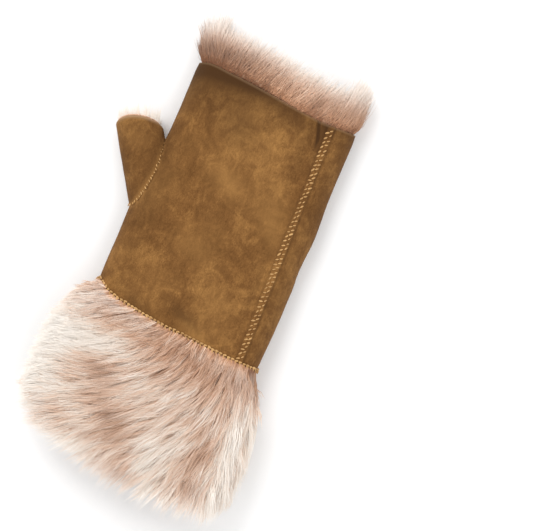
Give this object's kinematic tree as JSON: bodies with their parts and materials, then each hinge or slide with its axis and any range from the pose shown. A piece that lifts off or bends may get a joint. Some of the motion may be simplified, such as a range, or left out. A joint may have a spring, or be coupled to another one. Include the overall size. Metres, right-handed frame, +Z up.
{
  "type": "fingerless fur mitten",
  "caption": "Fingerless shearling mitten lying flat: suede hide outside, wool lining standing out of the finger and thumb openings, and a deep long-haired fur cuff sewn to the wrist.",
  "frame": {"origin": "on the flat underside of the hand, on its middle line, halfway between the cuff seam and the finger hem", "axes": "+X across the hand away from the thumb, +Y along the mitten from the cuff to the fingers, +Z up from the surface it lies on"},
  "size_m": [0.175, 0.3066, 0.057],
  "materials": {
    "suede": "brushed caramel suede, matt, softly mottled",
    "wool": "dense sheared wool, pinkish beige with pale tips",
    "fur": "long soft fur, pinkish beige with taupe streaks and whitish tips",
    "thread": "golden tan sewing thread"
  },
  "bodies": {
    "root": {"hand_panel": "suede", "thumb_panel": "suede", "hand_wool": "wool", "thumb_wool": "wool", "fur_cuff": "fur"}
  },
  "joints": []
}
